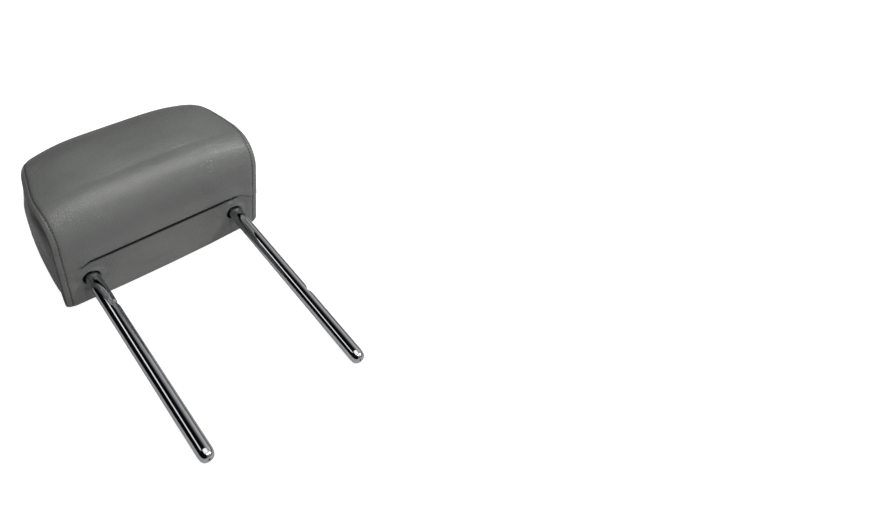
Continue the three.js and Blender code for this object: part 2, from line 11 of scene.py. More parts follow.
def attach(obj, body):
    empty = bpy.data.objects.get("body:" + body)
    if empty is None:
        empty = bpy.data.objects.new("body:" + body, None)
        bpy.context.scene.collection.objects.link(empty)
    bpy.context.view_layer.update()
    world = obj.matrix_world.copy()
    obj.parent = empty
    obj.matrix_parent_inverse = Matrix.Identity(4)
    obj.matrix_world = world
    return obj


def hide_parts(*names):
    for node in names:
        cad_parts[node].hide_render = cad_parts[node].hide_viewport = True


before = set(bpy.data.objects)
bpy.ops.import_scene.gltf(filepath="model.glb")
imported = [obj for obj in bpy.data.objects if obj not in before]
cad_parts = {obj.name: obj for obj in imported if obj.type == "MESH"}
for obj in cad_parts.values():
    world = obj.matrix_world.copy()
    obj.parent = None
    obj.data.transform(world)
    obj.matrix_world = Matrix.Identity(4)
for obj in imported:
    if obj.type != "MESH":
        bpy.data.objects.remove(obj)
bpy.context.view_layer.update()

scene = bpy.context.scene

# Long cover panel: one strip of pebbled grey leather wrapped round the cushion, its two ends
# overlapped in a flap across the underside, with a puckered hole round each leg. It is drawn
# in millimetres as it sits in the car, X across, -Y forwards, Z up, and then laid on its back.

leg_x = 77.5
lean = math.atan((36.0 - 7.0) / (225.0 - 11.0))
rear_bottom_y = 36.0
front_bottom_y = -83.5
front_top_z = 136.5
cushion_corners = [
    (rear_bottom_y, 0.0, 13.0),
    (rear_bottom_y + 116.0 * math.tan(lean), 116.0, 21.0),
    (-74.5, front_top_z, 50.0),
    (front_bottom_y, 0.0, 27.0),
]
low_height = 45.0
face_swell, underside_hang = 10.8, 5.0
edge_depth, edge_reach = 3.0, 11.0
end_inset, end_swell = 5.5, 6.6
band_rise, groove_depth = 0.35, 0.35
slit_y = -25.5
leather_thickness = 1.7
flap_ramp = 15.0
flap_lift = 1.9
tuck_depth = 2.6
stitch_inset = 6.0
stitch_pitch = 3.3
hole_radius = 7.95
hole_offset = -0.8
hole_back = 0.4
end_middle_y, end_middle_z = -20.165, 58.0
lying_shift, lying_lift = 45.564, 36.037
leather_grey = (0.138, 0.143, 0.136, 1)


def side_line(corners, start_y):
    """Side view of the cushion from the slit rearwards all the way round: distance run, y and z."""
    flat = [np.array(corner[:2]) for corner in corners]
    points = [np.array((start_y, 0.0))]
    for k, here in enumerate(flat):
        radius = corners[k][2]
        back = flat[k - 1] - here
        ahead = flat[(k + 1) % len(flat)] - here
        back, ahead = back / np.linalg.norm(back), ahead / np.linalg.norm(ahead)
        half = math.acos(float(back @ ahead)) / 2
        middle = (back + ahead) / np.linalg.norm(back + ahead)
        centre = here + middle * radius / math.sin(half)
        first = here + back * radius / math.tan(half) - centre
        last = here + ahead * radius / math.tan(half) - centre
        a0, a1 = math.atan2(first[1], first[0]), math.atan2(last[1], last[0])
        sweep = (a1 - a0 + 3 * math.pi) % (2 * math.pi) - math.pi
        for step in range(25):
            angle = a0 + sweep * step / 24
            points.append(centre + radius * np.array((math.cos(angle), math.sin(angle))))
    points.append(np.array((start_y, 0.0)))
    line = np.array(points)
    run = np.concatenate([[0], np.cumsum(np.linalg.norm(np.diff(line, axis=0), axis=1))])
    total = run[-1]
    run = np.concatenate([[-40], run, [total + 40]])
    line = np.vstack([[start_y - 40, 0], line, [start_y + 40, 0]])
    return run, line[:, 0], line[:, 1], total


line_run, line_y, line_z, round_length = side_line(cushion_corners, slit_y)


def half_width(y, z):
    up = np.clip(z / front_top_z, 0, 1)
    return 106.0 - 0.196 * z - 0.069 * y * np.clip(z / low_height, 0, 1) + 22.0 * up * (1 - up)


def half_at(s):
    """Half the width of the long panel at distance s round."""
    return half_width(np.interp(s, line_run, line_y), np.interp(s, line_run, line_z))


def face_point(s, x):
    """Point of the long face, before any softening, at distance s round and x across."""
    y, z = np.interp(s, line_run, line_y), np.interp(s, line_run, line_z)
    across = x / half_width(y, z)
    swell = face_swell * (1 - np.abs(across) ** 4)
    from_back = rear_bottom_y + z * math.tan(lean) - y
    front = swell * np.clip(from_back / (rear_bottom_y - front_bottom_y), 0, 1) ** 3
    top = swell * np.clip(z / front_top_z, 0, 1) ** 3
    rearwards = np.clip((y - slit_y) / (rear_bottom_y - slit_y), 0, 1) ** 1.5
    hang = underside_hang * (1 - across ** 2) * rearwards * np.clip(1 - z / low_height, 0, 1) ** 2
    along_back = top - hang
    return np.stack([
        x + 0 * y,
        y - front + along_back * math.sin(lean),
        z + along_back * math.cos(lean),
    ], axis=-1)


def face_normal(s, x):
    along = face_point(s + 1.5, x) - face_point(s - 1.5, x)
    across = face_point(s, x + 0.5) - face_point(s, x - 0.5)
    normal = np.cross(along, across)
    return normal / np.linalg.norm(normal, axis=-1, keepdims=True)


def smooth(value, low, high):
    """0 below low, 1 above high, eased between."""
    t = np.clip((value - low) / (high - low), 0, 1)
    return t * t * (3 - 2 * t)


def edge_drop(inset):
    return edge_depth * np.clip(1 - inset / edge_reach, 0, 1) ** 2


def lay_down(points):
    """From the drawing in millimetres to the lying pose in metres."""
    p = np.asarray(points, dtype=float)
    turned = np.stack([
        p[..., 0],
        p[..., 1] * math.sin(lean) + p[..., 2] * math.cos(lean) + lying_shift,
        -p[..., 1] * math.cos(lean) + p[..., 2] * math.sin(lean) + lying_lift,
    ], axis=-1)
    return turned / 1000.0


leg_centres = [Vector(lay_down((side * leg_x, 0.0, 0.0))) for side in (-1, 1)]


def face_upward(s, x):
    """Direction straight out of the long face, in the lying pose."""
    upward = lay_down(face_point(s, x) + face_normal(s, x)) - lay_down(face_point(s, x))
    return upward / np.linalg.norm(upward, axis=-1, keepdims=True)


def settled(points):
    """Presses what would hang into the table flat against it."""
    points[:, 2] = np.maximum(points[:, 2], 0.0004)
    return points


def gusset_point(angle_run, factor, side, depth=0.0):
    """Point of an end panel: factor 1 at its sewn rim, 0 at its middle."""
    y0, z0 = np.interp(angle_run, line_run, line_y), np.interp(angle_run, line_run, line_z)
    half = half_width(y0, z0)
    rim = face_point(angle_run, side * half) - face_normal(angle_run, side * half) * end_inset
    y = end_middle_y + (rim[..., 1] - end_middle_y) * factor
    z = end_middle_z + (rim[..., 2] - end_middle_z) * factor
    level = half_width(y, z) + (half - half_width(rim[..., 1], rim[..., 2])) * factor ** 4
    x = level - 1.0 + end_swell * (1 - factor ** 2) - depth
    return np.stack([side * x, y, z], axis=-1)


def mesh_object(name, points, faces, shade_smooth=True):
    mesh = bpy.data.meshes.new(name)
    mesh.from_pydata([tuple(p) for p in points], [], faces)
    mesh.update()
    if shade_smooth:
        mesh.shade_smooth()
    obj = bpy.data.objects.new(name, mesh)
    scene.collection.objects.link(obj)
    return obj


def ring_faces(rings, around, closed=False):
    """Four-sided faces between rings of points, from the last ring to the first too if closed."""
    faces = []
    for r in range(rings if closed else rings - 1):
        here, ahead = r * around, (r + 1) % rings * around
        for i in range(around):
            j = (i + 1) % around
            faces.append((here + i, here + j, ahead + j, ahead + i))
    return faces


def applied(obj, modifier):
    """Keeps the shape that the modifier gives and takes the modifier off."""
    graph = bpy.context.evaluated_depsgraph_get()
    mesh = bpy.data.meshes.new_from_object(obj.evaluated_get(graph))
    obj.modifiers.remove(modifier)
    obj.data = mesh


def faces_aligned(mesh):
    """Turns all faces of a mesh the same way round."""
    bm = bmesh.new()
    bm.from_mesh(mesh)
    bmesh.ops.recalc_face_normals(bm, faces=bm.faces)
    bm.to_mesh(mesh)
    bm.free()


def voxels(obj, size):
    """Rebuilds an object as one closed skin of even cells."""
    remesh = obj.modifiers.new("Voxels", "REMESH")
    remesh.mode = "VOXEL"
    remesh.voxel_size = size
    applied(obj, remesh)


def blown_up_cushion():
    """The sewn cushion as one closed bag of cloth, pinned along its seams and blown up by its foam."""
    count = 110
    s = np.linspace(0, round_length, count, endpoint=False)
    half = half_at(s)
    rings = []
    for factor in (0.12, 0.35, 0.6, 0.82, 0.95):
        rings.append(gusset_point(s, factor, -1, 2.5 * (1 - factor ** 4)))
    for inset in (0.0, 4.0, 10.0):
        x = inset - half
        rings.append(face_point(s, x) - face_normal(s, x) * (edge_drop(inset) + 0.2 * inset))
    for k in range(1, 24):
        x = (-half + 10.0) + (2 * half - 20.0) * k / 24
        rings.append(face_point(s, x) - face_normal(s, x) * 2.4)
    for inset in (10.0, 4.0, 0.0):
        x = half - inset
        rings.append(face_point(s, x) - face_normal(s, x) * (edge_drop(inset) + 0.2 * inset))
    for factor in (0.95, 0.82, 0.6, 0.35, 0.12):
        rings.append(gusset_point(s, factor, 1, 2.5 * (1 - factor ** 4)))
    points = np.concatenate([lay_down(ring) for ring in rings])
    faces = ring_faces(len(rings), count)
    faces.append(tuple(reversed(range(count))))
    faces.append(tuple(range((len(rings) - 1) * count, len(rings) * count)))
    bag = mesh_object("cloth_bag", points, faces)
    faces_aligned(bag.data)
    voxels(bag, 0.0045)
    seam_points = []
    for side in (-1, 1):
        rim = face_point(s, side * half) - face_normal(s, side * half) * 3.0
        seam_points.extend(lay_down(rim))
    across = np.linspace(-100, 100, 60)
    seam_points.extend(lay_down(face_point(np.zeros(60), across)))
    tree = KDTree(len(seam_points))
    for k, point in enumerate(seam_points):
        tree.insert(Vector(point), k)
    tree.balance()
    pins = bag.vertex_groups.new(name="seams")
    for vertex in bag.data.vertices:
        near = tree.find(vertex.co)[2] * 1000
        hole = min((vertex.co - centre).length for centre in leg_centres) * 1000
        held = max(1 - max(near - 4, 0) / 5, 1 - max(hole - 11, 0) / 6)
        if held > 0:
            pins.add([vertex.index], min(held, 1), "REPLACE")
    start = np.array([vertex.co[:] for vertex in bag.data.vertices])
    most_swell = 0.0065
    last_step = 20
    cloth = bag.modifiers.new("Pressure", "CLOTH")
    for name, value in (
            ("quality", 7), ("mass", 0.3), ("tension_stiffness", 22), ("compression_stiffness", 14),
            ("shear_stiffness", 8), ("bending_stiffness", 1.2), ("air_damping", 2),
            ("use_pressure", True), ("uniform_pressure_force", 4), ("shrink_min", -0.012),
            ("vertex_group_mass", "seams"), ("pin_stiffness", 1)):
        setattr(cloth.settings, name, value)
    cloth.settings.effector_weights.gravity = 0
    cloth.collision_settings.use_collision = False
    cloth.point_cache.frame_start = 1
    cloth.point_cache.frame_end = last_step
    for number in range(1, last_step + 1):
        scene.frame_set(number)
    graph = bpy.context.evaluated_depsgraph_get()
    result = bag.evaluated_get(graph).to_mesh()
    end = np.array([vertex.co[:] for vertex in result.vertices])
    bag.evaluated_get(graph).to_mesh_clear()
    bag.modifiers.remove(cloth)
    move = end - start
    size = np.linalg.norm(move, axis=1, keepdims=True)
    end = start + move * np.minimum(1, most_swell / np.maximum(size, 1e-9))
    bag.data.vertices.foreach_set("co", end.ravel())
    bag.data.update()
    scene.frame_set(1)
    return bag


bag = blown_up_cushion()
bag_tree = BVHTree.FromObject(bag, bpy.context.evaluated_depsgraph_get())


def swell_table(origins, directions, reach):
    """How far the blown-up bag stands from each origin, along its direction, in millimetres."""
    shape = origins.shape[:-1]
    start, ahead = origins.reshape(-1, 3), directions.reshape(-1, 3)
    heights = np.zeros(len(start))
    for k in range(len(start)):
        hit = bag_tree.ray_cast(Vector(start[k] + ahead[k] * reach), Vector(-ahead[k]), 2 * reach)
        heights[k] = (reach - hit[3]) * 1000 if hit[0] is not None else -3.0
    return heights.reshape(shape)


def soften(table, times, wrap):
    """Neighbours averaged, with the first direction joined end to end where it goes all the way round."""
    for _ in range(times):
        padded = np.pad(table, ((1, 1), (0, 0)), mode="wrap" if wrap else "edge")
        table = (padded[:-2] + 2 * padded[1:-1] + padded[2:]) / 4
        padded = np.pad(table, ((0, 0), (1, 1)), mode="edge")
        table = (padded[:, :-2] + 2 * padded[:, 1:-1] + padded[:, 2:]) / 4
    return table


def table_value(table, u, v):
    """Value between the cells of a table at fractions u and v of its two directions."""
    a = np.clip(u, 0, 1) * (table.shape[0] - 1)
    b = np.clip(v, 0, 1) * (table.shape[1] - 1)
    i = np.minimum(a.astype(int), table.shape[0] - 2)
    j = np.minimum(b.astype(int), table.shape[1] - 2)
    fu, fv = a - i, b - j
    fu, fv = fu * fu * (3 - 2 * fu), fv * fv * (3 - 2 * fv)
    low = table[i, j] * (1 - fv) + table[i, j + 1] * fv
    high = table[i + 1, j] * (1 - fv) + table[i + 1, j + 1] * fv
    return low * (1 - fu) + high * fu


def panel_swell(rows, columns):
    """Swell of the long panel over its length round and its width."""
    s, v = np.linspace(0, round_length, rows), np.linspace(-1, 1, columns)
    ss, vv = np.meshgrid(s, v, indexing="ij")
    x = vv * half_at(ss)
    return soften(swell_table(lay_down(face_point(ss, x)), face_upward(ss, x), 0.012), 5, True)


swell = np.zeros((131, 51))
swell = panel_swell(*swell.shape)


def slit_shift(x):
    """How far the slit is drawn rearwards from its straight line towards its two ends."""
    right = 11.5 * smooth(x, 79, 103) + 0.6 * smooth(x, 70, 82)
    left = 4.5 * smooth(-x, 77, 86)
    return right + left


def slit_open(x):
    """1 where the flap stands free of the leather under it, 0 where the two lie flush."""
    return (1 - smooth(-x, 82, 88)) * (1 - 0.82 * smooth(x, 78, 86))


def ripple(a, b, seed):
    """Slow wandering value from -1 to 1, the same at every run."""
    rng = np.random.default_rng(seed)
    total = 0.0 * a
    for _ in range(5):
        fa, fb, pa, pb = rng.uniform(0.6, 1.5, 2).tolist() + rng.uniform(0, 6.28, 2).tolist()
        total = total + np.sin(a * fa + pa + 1.3 * np.sin(b * fb + pb)) / 5
    return total


def cover_level(s, x):
    """Height of the leather over the plain face: swell, edges, seam band, puckers, flap and creases."""
    half = half_at(s)
    inset = half - np.abs(x)
    blown = table_value(swell, np.clip(s / round_length, 0, 1), (x / half + 1) / 2)
    level = np.clip(0.8 * blown, -0.6, 2.4) * smooth(inset, 5, 26)
    level = level - edge_drop(inset)
    level = level - 1.0 * (1 - np.sqrt(np.clip(1 - (1 - np.clip(inset, 0, 1)) ** 2, 0, 1)))
    level = level + band_rise * (1 - smooth(inset, stitch_inset - 1.1, stitch_inset - 0.2))
    level = level - groove_depth * np.exp(-((inset - stitch_inset) / 0.75) ** 2)
    beat = np.cos(2 * math.pi * s / stitch_pitch)
    level = level - 0.16 * (0.5 + 0.5 * beat) * np.exp(-((inset - stitch_inset) / 1.3) ** 2)
    gather = ripple(s / 3.4, x / 40, 3) * np.exp(-((inset - stitch_inset) / 9.0) ** 2)
    level = level + 0.28 * gather
    level = level + 0.35 * ripple(s / 17.0, x / 22.0, 8)
    open_here = slit_open(x)
    from_slit = s - slit_shift(x)
    tuck = tuck_depth * (0.12 + 0.88 * open_here) * (1 - smooth(from_slit, -1.5, 4.0))
    level = level - np.where(s < 40, tuck, 0)
    to_slit = round_length + slit_shift(x) - s
    lift = (0.12 + (flap_lift - 0.12) * open_here) * (1 - smooth(to_slit, -1.0, flap_ramp))
    rounded = 1.5 * (1 - np.sqrt(np.clip(1 - (1 - np.clip((to_slit + 1.6) / 1.6, 0, 1)) ** 2, 0, 1)))
    level = level + np.where(s > round_length - 40, lift - rounded * (0.3 + 0.7 * open_here), 0)
    for side in (-1, 1):
        dx, dy = x - side * leg_x - hole_offset, s + slit_y - hole_back
        away = np.hypot(dx, dy)
        flat_here = (np.abs(s - 40) < 60)
        dent = -1.2 * np.exp(-((away - 13) / 9.0) ** 2)
        lip = 1.9 * np.exp(-((away - hole_radius - 2.0) / 1.9) ** 2)
        turn = np.arctan2(dy, dx)
        strong = 0.12 + 0.88 * (0.5 + 0.5 * np.cos(turn + 0.25)) ** 1.6
        folds = 0.35 * np.cos(5 * turn + 0.7 * side) * np.exp(-((away - 14) / 6.0) ** 2)
        level = level + np.where(flat_here, dent + lip * strong + folds, 0)
    return level


def cover_surface(s, x, extra=0.0):
    level = cover_level(s, x) + extra
    return face_point(s, x) + face_normal(s, x) * level[..., None]


def cover_rows():
    """Distances round of the rows: close together by the slit and along the two bottom corners."""
    rows = [-5.0, -3.6, -2.4, -1.4, -0.6]
    s = 0.0
    while s < round_length - 18:
        rows.append(s)
        s += 1.0 if s < 8 else 1.75
    near = np.linspace(rows[-1] + 1.4, round_length - 1.2, 13).tolist()
    end = [round_length + d for d in (-0.6, 0.0, 0.4, 0.8, 1.1, 1.35, 1.5, 1.6)]
    return np.array(rows + near + end)


def painted_fold_shade(s, x):
    """Painted shade: 1 deep in the fold behind the flap and on its cut edge, 0 on open leather."""
    open_here = slit_open(x)
    behind = s - slit_shift(x)
    reach = 0.5 + 4.6 * open_here
    tucked = (1 - smooth(behind, reach, reach + 0.6 + 1.6 * open_here)) * (s < 60)
    edge = smooth(s - round_length - slit_shift(x), 0.9, 1.5)
    return np.maximum(tucked, edge)


def cover_panel():
    """Points and faces of the long panel, with its two leg holes and the places on it for the seam map."""
    edge = [0.0, 0.12, 0.35, 0.7, 1.1, 1.8, 2.8, 3.9, 4.9, 5.7, 6.2, 6.6, 7.0, 7.4, 7.8, 8.4, 9.4, 11.0]
    inner = 50
    rows = cover_rows()
    shift_weight = np.clip(1 - np.minimum(np.abs(rows), np.abs(rows - round_length)) / 22, 0, 1)
    columns = [(-1, e, None) for e in edge] + [(0, None, k / inner) for k in range(1, inner)]
    columns += [(1, e, None) for e in reversed(edge)]
    s = np.zeros((len(rows), len(columns)))
    x = np.zeros_like(s)
    for j, row in enumerate(rows):
        half = half_at(row)
        for c, (side, inset, part) in enumerate(columns):
            x[j, c] = side * (half - inset) if part is None else (half - edge[-1]) * (2 * part - 1)
        s[j] = row + slit_shift(x[j]) * shift_weight[j]
    points = cover_surface(s, x)
    keep = np.ones((len(rows) - 1, len(columns) - 1), dtype=bool)
    uv_s, uv_x = s.ravel().tolist(), x.ravel().tolist()
    # painted shade for the slit: darkness laid into the leather behind the flap and on the flap's cut edge
    shade = painted_fold_shade(s, x).ravel().tolist()
    verts = points.reshape(-1, 3).tolist()
    faces = []
    width = len(columns)
    for side in (-1, 1):
        centre_row = int(np.argmin(np.abs(rows + slit_y)))
        centre_column = int(np.argmin(np.abs(x[centre_row] - side * leg_x)))
        reach_r, reach_c = 9, 8
        r0, r1 = centre_row - reach_r, centre_row + reach_r
        c0, c1 = centre_column - reach_c, centre_column + reach_c
        keep[r0:r1, c0:c1] = False
        border = [(r0, c) for c in range(c0, c1)] + [(r, c1) for r in range(r0, r1)]
        border += [(r1, c) for c in range(c1, c0, -1)] + [(r, c0) for r in range(r1, r0, -1)]
        flat = np.array([(s[r, c] + slit_y, x[r, c]) for r, c in border])
        away = flat - np.array((hole_back, side * leg_x + hole_offset))
        circle = away / np.linalg.norm(away, axis=1, keepdims=True)
        previous = [r * width + c for r, c in border]
        count = len(border)
        steps = [(blend, 2.1, 0.0) for blend in (0.22, 0.42, 0.6, 0.76, 0.88)]
        steps += [(1, radius, drop) for radius, drop in (
            (1.5, 0.0), (1.0, 0.03), (0.55, 0.22), (0.22, 0.6),
            (0.0, 1.3), (-0.1, 2.6), (-0.15, 4.2), (-0.1, 6.0))]
        for blend, radius, drop in steps:
            ring_flat = away * (1 - blend) + circle * (hole_radius + radius) * blend
            ring_s = ring_flat[:, 0] + hole_back - slit_y
            ring_x = ring_flat[:, 1] + side * leg_x + hole_offset
            placed = cover_surface(ring_s, ring_x, -drop)
            base = len(verts)
            verts.extend(placed.tolist())
            uv_s.extend(ring_s.tolist())
            uv_x.extend(ring_x.tolist())
            # painted shade: the rings that turn down into the leg hole are darkened more the deeper they go
            shade.extend([min(1.0, drop / 1.6)] * count)
            now = list(range(base, base + count))
            for k in range(count):
                n = (k + 1) % count
                faces.append((previous[k], previous[n], now[n], now[k]))
            previous = now
    for r, c in np.argwhere(keep).tolist():
        here = r * width + c
        faces.append((here, here + 1, here + width + 1, here + width))
    return np.array(verts), faces, np.array(uv_s), np.array(uv_x), np.array(shade)


def outward(obj, centre):
    """Turns an open skin so that its faces look away from a point in the middle of the cushion."""
    total = 0.0
    for polygon in obj.data.polygons:
        total += polygon.normal.dot(polygon.center - centre) * polygon.area
    if total < 0:
        obj.data.flip_normals()


def seam_attributes(obj, runs, insets):
    """Stores the distance round and the distance from the seam as a UV map, in millimetres."""
    layer = obj.data.uv_layers.new(name="seam")
    indices = np.zeros(len(obj.data.loops), dtype=int)
    obj.data.loops.foreach_get("vertex_index", indices)
    values = np.stack([runs[indices], insets[indices]], axis=-1)
    layer.data.foreach_set("uv", values.ravel())


verts, faces, runs, xs, shades = cover_panel()
used = np.zeros(len(verts), dtype=bool)
for face in faces:
    used[list(face)] = True
renumber = np.cumsum(used) - 1
faces = [tuple(int(renumber[v]) for v in face) for face in faces]
verts, runs, xs, shades = verts[used], runs[used], xs[used], shades[used]
cover = mesh_object("cover_leather", settled(lay_down(verts)), faces)
# the shade attribute carries painted shade: the slit fold, the flap's cut edge and the insides of the leg
# holes
cover.data.attributes.new("shade", "FLOAT", "POINT").data.foreach_set("value", shades)
middle_of_cushion = Vector(lay_down((0.0, -20.0, 58.0)))
seam_attributes(cover, runs, half_at(runs) - np.abs(xs))
faces_aligned(cover.data)
outward(cover, middle_of_cushion)


def mixed(nodes, links, factor, first, second):
    """A colour mix of two sockets or plain colours by a factor."""
    mix = nodes.new("ShaderNodeMix")
    mix.data_type = "RGBA"
    for socket, value in ((mix.inputs[0], factor), (mix.inputs[6], first), (mix.inputs[7], second)):
        if isinstance(value, bpy.types.NodeSocket):
            links.new(value, socket)
        else:
            socket.default_value = value
    return mix.outputs[2]


def ranged(nodes, links, value, low, high, to_low, to_high):
    """A value carried from one range to another, eased and clamped."""
    node = nodes.new("ShaderNodeMapRange")
    node.interpolation_type = "SMOOTHSTEP"
    for name, number in (("From Min", low), ("From Max", high), ("To Min", to_low), ("To Max", to_high)):
        node.inputs[name].default_value = number
    links.new(value, node.inputs["Value"])
    return node.outputs[0]


def calculated(nodes, links, operation, *values):
    """One step of arithmetic on sockets or plain numbers."""
    node = nodes.new("ShaderNodeMath")
    node.operation = operation
    for socket, value in zip(node.inputs, values):
        if isinstance(value, bpy.types.NodeSocket):
            links.new(value, socket)
        else:
            socket.default_value = value
    return node.outputs[0]


def pattern(nodes, links, kind, place, **values):
    """A texture or mapping node that reads the given place, with its inputs set by name."""
    node = nodes.new(kind)
    for name, value in values.items():
        node.inputs[name].default_value = value
    links.new(place, node.inputs["Vector"])
    return node


def bumped(nodes, links, height, strength, depth, target):
    """A bump of that strength and depth in metres, wired to a normal socket."""
    bump = nodes.new("ShaderNodeBump")
    bump.inputs["Strength"].default_value = strength
    bump.inputs["Distance"].default_value = depth
    links.new(height, bump.inputs["Height"])
    links.new(bump.outputs[0], target)
    return bump


def grain_group():
    """Pebbled hide grain: rounded cells with fine cracks between, a little different from place to place."""
    group = bpy.data.node_groups.new("hide grain", "ShaderNodeTree")
    face = group.interface
    for name, value in (("Cells", 400.0), ("Wander", 0.0011), ("Patches", 14.0)):
        socket = face.new_socket(name=name, in_out="INPUT", socket_type="NodeSocketFloat")
        socket.default_value = value
    for name in ("Height", "Valleys", "Patchiness"):
        face.new_socket(name=name, in_out="OUTPUT", socket_type="NodeSocketFloat")
    nodes, links = group.nodes, group.links
    inputs, outputs = nodes.new("NodeGroupInput"), nodes.new("NodeGroupOutput")
    place = nodes.new("ShaderNodeTexCoord").outputs["Object"]
    drift = pattern(nodes, links, "ShaderNodeTexNoise", place, Scale=260, Detail=2)
    fine = pattern(nodes, links, "ShaderNodeTexNoise", place, Scale=1500, Detail=3)
    patch = pattern(nodes, links, "ShaderNodeTexNoise", place, Detail=4)
    centre, scaled, moved = [nodes.new("ShaderNodeVectorMath") for _ in range(3)]
    centre.operation, scaled.operation, moved.operation = "SUBTRACT", "SCALE", "ADD"
    centre.inputs[1].default_value = (0.5, 0.5, 0.5)
    cells = pattern(nodes, links, "ShaderNodeTexVoronoi", moved.outputs[0])
    cells.feature = "DISTANCE_TO_EDGE"
    rounded = ranged(nodes, links, cells.outputs["Distance"], 0.0, 0.34, 0, 1)
    height = calculated(nodes, links, "MULTIPLY_ADD", fine.outputs["Fac"], 0.35, rounded)
    valley = nodes.new("ShaderNodeMapRange")
    for name, value in (("From Min", 0.0), ("From Max", 0.16), ("To Min", 1.0), ("To Max", 0.0)):
        valley.inputs[name].default_value = value
    links.new(drift.outputs["Color"], centre.inputs[0])
    links.new(centre.outputs[0], scaled.inputs[0])
    links.new(inputs.outputs["Wander"], scaled.inputs["Scale"])
    links.new(place, moved.inputs[0])
    links.new(scaled.outputs[0], moved.inputs[1])
    links.new(inputs.outputs["Cells"], cells.inputs["Scale"])
    links.new(cells.outputs["Distance"], valley.inputs["Value"])
    links.new(inputs.outputs["Patches"], patch.inputs["Scale"])
    links.new(height, outputs.inputs["Height"])
    links.new(valley.outputs[0], outputs.inputs["Valleys"])
    links.new(patch.outputs["Fac"], outputs.inputs["Patchiness"])
    return group


hide_grain = grain_group()


def new_material(name):
    material = bpy.data.materials.new(name)
    material.use_nodes = True
    nodes = material.node_tree.nodes
    nodes.clear()
    output = nodes.new("ShaderNodeOutputMaterial")
    shader = nodes.new("ShaderNodeBsdfPrincipled")
    material.node_tree.links.new(shader.outputs[0], output.inputs[0])
    return material, nodes, material.node_tree.links, shader


def leather_material(name, stitched):
    """Grey hide with pebbled grain under a thin clear coat, with painted shade in its seams, stitch grooves,
    needle holes, slit fold and leg holes.
    """
    material, nodes, links, shader = new_material(name)
    grain = nodes.new("ShaderNodeGroup")
    grain.node_tree = hide_grain
    patches = ranged(nodes, links, grain.outputs["Patchiness"], 0.35, 0.65, 0, 1)
    light, dark, deep = [
        tuple(grey * part for grey, part in zip(leather_grey, parts))
        for parts in ((1.07, 1.07, 1.06, 1), (0.93, 0.93, 0.94, 1), (0.62, 0.62, 0.62, 1))]
    # painted shade: near-black laid into the colour in the needle holes and along the seam edge
    painted_shade_black = (0.012, 0.012, 0.012, 1)
    colour = mixed(nodes, links, patches, dark, light)
    cracks = calculated(nodes, links, "MULTIPLY", grain.outputs["Valleys"], 0.22)
    colour = mixed(nodes, links, cracks, colour, deep)
    uv = nodes.new("ShaderNodeUVMap")
    uv.uv_map = "seam"
    parts = nodes.new("ShaderNodeSeparateXYZ")
    links.new(uv.outputs[0], parts.inputs[0])
    if stitched:
        beat = calculated(nodes, links, "DIVIDE", parts.outputs["X"], stitch_pitch)
        beat = calculated(nodes, links, "FRACT", calculated(nodes, links, "ADD", beat, 0.5))
        along = calculated(nodes, links, "ABSOLUTE", calculated(nodes, links, "SUBTRACT", beat, 0.5))
        off = calculated(nodes, links, "SUBTRACT", parts.outputs["Y"], stitch_inset)
        off = calculated(nodes, links, "ABSOLUTE", off)
        # needle holes painted near-black as painted shade
        hole = calculated(nodes, links, "MULTIPLY",
                          ranged(nodes, links, along, 0.36, 0.44, 0, 1),
                          ranged(nodes, links, off, 0.35, 0.8, 1, 0))
        # painted shade: the stitch groove is darkened towards the deep tone
        channel = ranged(nodes, links, off, 0.4, 1.3, 0.35, 0)
        colour = mixed(nodes, links, channel, colour, deep)
        colour = mixed(nodes, links, hole, colour, painted_shade_black)
    # painted shade: the shade attribute mixes the leather towards a near-black diffuse below, in the slit
    # fold and leg holes
    fold = nodes.new("ShaderNodeAttribute")
    fold.attribute_name = "shade"
    seam_end = 1.5 if stitched else 3.4
    # painted shade: the leather's rim at the seam is darkened to near black, a painted shadow line in the
    # seam gap
    edge = ranged(nodes, links, parts.outputs["Y"], seam_end - 0.8, seam_end, 0.95, 0)
    colour = mixed(nodes, links, edge, colour, painted_shade_black)
    if not stitched:
        # painted shade: the end panel is darkened over its first 15 mm from the seam, a painted shadow of
        # the hollow beside it
        seam_painted_shade = ranged(nodes, links, parts.outputs["Y"], 3.0, 15.0, 0.75, 0)
        colour = mixed(nodes, links, seam_painted_shade, colour, (0.03, 0.031, 0.03, 1))
    links.new(colour, shader.inputs["Base Color"])
    rough = ranged(nodes, links, grain.outputs["Patchiness"], 0.3, 0.7, 0.4, 0.5)
    rough = calculated(nodes, links, "MULTIPLY_ADD", grain.outputs["Valleys"], 0.2, rough)
    links.new(rough, shader.inputs["Roughness"])
    shader.inputs["Specular IOR Level"].default_value = 0.3
    shader.inputs["Coat Weight"].default_value = 0.55
    shader.inputs["Coat Roughness"].default_value = 0.15
    bumped(nodes, links, grain.outputs["Height"], 0.85, 0.00042, shader.inputs["Coat Normal"])
    bump = bumped(nodes, links, grain.outputs["Height"], 0.16, 0.00036, shader.inputs["Normal"])
    if stitched:
        pressed = bumped(nodes, links, hole, 0.8, 0.0005, shader.inputs["Normal"])
        pressed.invert = True
        links.new(bump.outputs[0], pressed.inputs["Normal"])
    # near-black diffuse that paints the shade of the slit fold, flap edge and leg holes
    painted_shade_diffuse = nodes.new("ShaderNodeBsdfDiffuse")
    painted_shade_diffuse.inputs["Color"].default_value = (0.004, 0.004, 0.004, 1)
    blend = nodes.new("ShaderNodeMixShader")
    links.new(calculated(nodes, links, "MULTIPLY", fold.outputs["Fac"], 0.95), blend.inputs[0])
    links.new(shader.outputs[0], blend.inputs[1])
    links.new(painted_shade_diffuse.outputs[0], blend.inputs[2])
    output = next(node for node in nodes if node.type == "OUTPUT_MATERIAL")
    links.new(blend.outputs[0], output.inputs[0])
    return material


